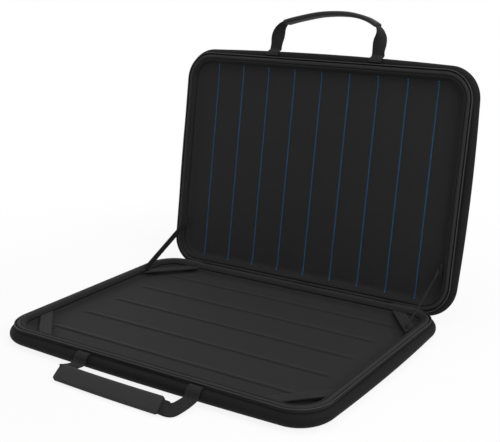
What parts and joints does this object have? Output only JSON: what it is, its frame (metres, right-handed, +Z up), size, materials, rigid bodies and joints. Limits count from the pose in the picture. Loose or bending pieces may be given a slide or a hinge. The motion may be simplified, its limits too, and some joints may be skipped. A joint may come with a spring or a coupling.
{
  "type": "zippered laptop hard case",
  "caption": "Moulded clamshell laptop case standing open, with zip rim, lined and quilted inside, elastic corner bands, stay straps and a webbing handle on each half.",
  "frame": {"origin": "centre of the base shell's flat underside", "axes": "+X to the right along the hinge, +Y to the back, +Z up out of the underside"},
  "size_m": [0.3774, 0.3799, 0.3126],
  "materials": {
    "shell_foam": "fine matt grain",
    "board": "plain",
    "lining_cloth": "smooth knitted cloth",
    "floor_cloth": "smooth knitted cloth",
    "thread_blue": "satin thread",
    "binding_cloth": "grosgrain",
    "zip_tape_cloth": "woven tape",
    "zip_nylon": "satin",
    "zip_metal": "black satin",
    "webbing": "ribbed weave",
    "elastic": "ribbed elastic",
    "grip_sleeve": "soft matt"
  },
  "bodies": {
    "base": {"base_shell": "shell_foam", "base_stiffener": "board", "base_wall_lining": "floor_cloth", "base_floor_pad": "floor_cloth", "base_piping": "binding_cloth", "base_binding": "binding_cloth", "base_binding_joint": "binding_cloth", "base_zip_tape": "zip_tape_cloth", "base_zip_coil": "zip_nylon", "base_zip_stops": "zip_metal", "base_handle_anchors": "webbing", "base_stay_tab_left": "webbing", "base_stay_tab_right": "webbing", "hinge_strip": "zip_tape_cloth", "stay_strap_left": "webbing", "stay_strap_right": "webbing", "corner_band_front_left": "elastic", "corner_band_front_right": "elastic", "corner_band_back_left": "elastic", "corner_band_back_right": "elastic"},
    "lid": {"lid_shell": "shell_foam", "lid_stiffener": "board", "lid_wall_lining": "lining_cloth", "lid_quilted_pad": "lining_cloth", "lid_quilt_threads": "thread_blue", "lid_piping": "binding_cloth", "lid_binding": "binding_cloth", "lid_binding_joint": "binding_cloth", "lid_zip_tape": "zip_tape_cloth", "lid_zip_coil": "zip_nylon", "lid_zip_stops": "zip_metal", "lid_handle_anchors": "webbing", "lid_stay_tab_left": "webbing", "lid_stay_tab_right": "webbing"},
    "base_handle": {"base_handle_webbing": "webbing", "base_handle_grip": "grip_sleeve"},
    "lid_handle": {"lid_handle_webbing": "webbing", "lid_handle_grip": "grip_sleeve"},
    "slider_left": {"zip_slider_left": "zip_metal"},
    "slider_right": {"zip_slider_right": "zip_metal"},
    "pull_left": {"zip_pull_left": "zip_metal"},
    "pull_right": {"zip_pull_right": "zip_metal"}
  },
  "joints": [
    {"name": "lid_hinge", "type": "hinge", "parent": "base", "child": "lid", "pos_m": [0, 0.1291, 0.0103], "axis": [1, 0, 0], "range_deg": [0, 100.48], "deforming": ["hinge_strip", "stay_strap_left", "stay_strap_right"]},
    {"name": "base_handle_swing", "type": "hinge", "parent": "base", "child": "base_handle", "pos_m": [0, -0.1359, 0.009], "axis": [-1, 0, 0], "range_deg": [0, 30]},
    {"name": "lid_handle_swing", "type": "hinge", "parent": "lid", "child": "lid_handle", "pos_m": [0, 0.19864, 0.26693], "axis": [1, 0, 0], "range_deg": [-100, 10]},
    {"name": "slider_left_slide", "type": "slide", "parent": "base", "child": "slider_left", "axis": [-1, 0, 0], "range_m": [0, 0.024]},
    {"name": "pull_left_hinge", "type": "hinge", "parent": "slider_left", "child": "pull_left", "pos_m": [-0.121, 0.1315, 0.0178], "axis": [1, 0, 0], "range_deg": [0, 14]},
    {"name": "slider_right_slide", "type": "slide", "parent": "base", "child": "slider_right", "axis": [1, 0, 0], "range_m": [0, 0.024]},
    {"name": "pull_right_hinge", "type": "hinge", "parent": "slider_right", "child": "pull_right", "pos_m": [0.121, 0.1315, 0.0178], "axis": [1, 0, 0], "range_deg": [0, 14]}
  ]
}
